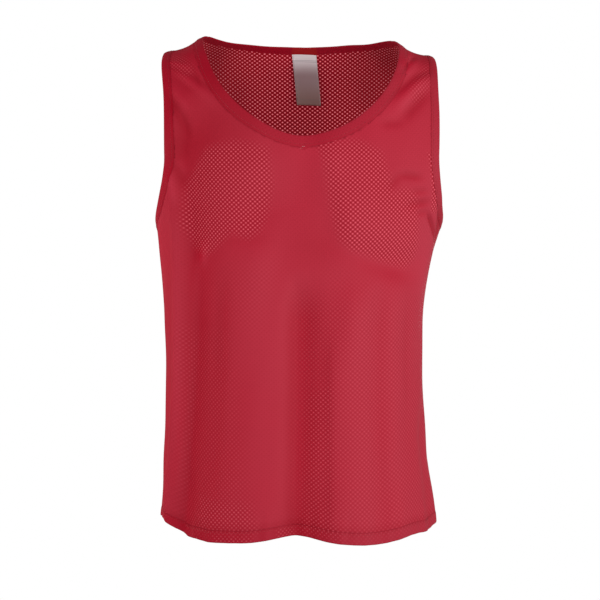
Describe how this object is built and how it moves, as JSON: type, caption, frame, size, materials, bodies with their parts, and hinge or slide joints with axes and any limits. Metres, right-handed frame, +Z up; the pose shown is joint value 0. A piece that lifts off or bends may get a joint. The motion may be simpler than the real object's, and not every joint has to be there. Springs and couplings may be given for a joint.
{
  "type": "training bib",
  "caption": "Sleeveless eyelet-mesh training bib in red with a scoop neck and bound armholes, filled out as worn: a hollow cloth shell open at neck, armholes and hem.",
  "frame": {"origin": "midway between the two shoulder straps, at the height where they bear on the wearer's shoulders", "axes": "+Z up along the garment, +X to the wearer's left, -Y out of the front, +Y out of the back"},
  "size_m": [0.3965, 0.2608, 0.6885],
  "materials": {
    "mesh_cloth": "red polyester eyelet mesh, matt",
    "hem_cloth": "the same mesh turned up double, its eyelets closed",
    "binding_cloth": "red polyester binding, folded double, matt",
    "label_satin": "silver-grey satin ribbon, plain"
  },
  "bodies": {
    "root": {"front_panel": "mesh_cloth", "back_panel": "mesh_cloth", "front_hem": "hem_cloth", "back_hem": "hem_cloth", "neck_binding": "binding_cloth", "armhole_binding_left": "binding_cloth", "armhole_binding_right": "binding_cloth", "neck_label": "label_satin"}
  },
  "joints": []
}
